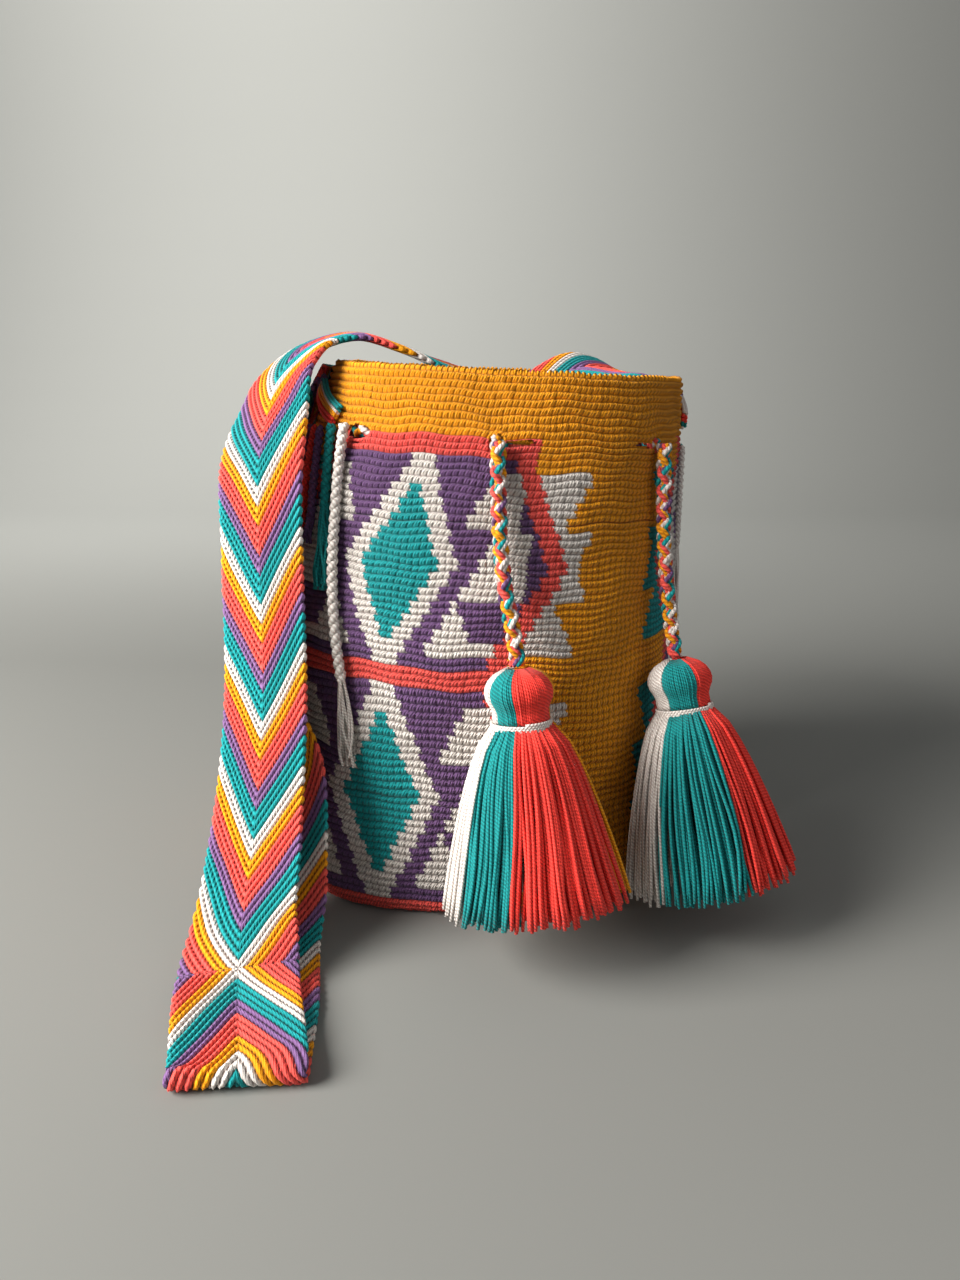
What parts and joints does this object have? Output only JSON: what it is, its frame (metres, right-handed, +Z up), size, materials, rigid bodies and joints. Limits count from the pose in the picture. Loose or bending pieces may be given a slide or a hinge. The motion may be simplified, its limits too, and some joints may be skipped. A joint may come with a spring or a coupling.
{
  "type": "crocheted bucket bag",
  "caption": "Crocheted bucket bag with a woven shoulder strap, a drawstring through eyelets under the rim, and a yarn tassel on each end of the drawstring.",
  "frame": {"origin": "middle of the flat base, on the surface the bag stands on", "axes": "+Z up, -Y towards the front of the bag, +X to its right; the strap lies to the left"},
  "size_m": [0.3323, 0.3772, 0.3233],
  "materials": {
    "bag_yarn": "matte yarn",
    "strap_yarn": "matte yarn",
    "cord_yarn": "matte yarn",
    "orange_yarn": "matte yarn",
    "coral_yarn": "matte yarn",
    "purple_yarn": "matte yarn",
    "teal_yarn": "matte yarn",
    "white_yarn": "matte yarn"
  },
  "bodies": {
    "bag": {"bag_body": "bag_yarn", "strap": "strap_yarn", "drawstring": "cord_yarn", "left_lashing": "orange_yarn", "right_lashing": "coral_yarn", "left_fringe_white": "white_yarn", "left_fringe_teal": "teal_yarn", "left_fringe_purple_front": "purple_yarn", "left_fringe_coral_front": "coral_yarn", "left_fringe_purple_back": "purple_yarn", "left_fringe_coral_back": "coral_yarn", "right_fringe_white": "white_yarn", "right_fringe_teal": "teal_yarn", "right_fringe_coral": "coral_yarn", "right_fringe_purple": "purple_yarn"},
    "left_tassel": {"left_drawstring_end": "cord_yarn", "left_tassel_white": "white_yarn", "left_tassel_teal": "teal_yarn", "left_tassel_coral": "coral_yarn", "left_tassel_orange": "orange_yarn", "left_tassel_binding": "white_yarn"},
    "right_tassel": {"right_drawstring_end": "cord_yarn", "right_tassel_white": "white_yarn", "right_tassel_teal": "teal_yarn", "right_tassel_coral": "coral_yarn", "right_tassel_binding": "white_yarn"}
  },
  "joints": [
    {"name": "left_tassel_swing", "type": "hinge", "parent": "bag", "child": "left_tassel", "pos_m": [0.01221, -0.10685, 0.26747], "axis": [-0.999, 0.0446, 0], "range_deg": [0, 70]},
    {"name": "right_tassel_swing", "type": "hinge", "parent": "bag", "child": "right_tassel", "pos_m": [0.10298, -0.07246, 0.26375], "axis": [-0.6472, -0.7623, 0], "range_deg": [0, 70]}
  ]
}
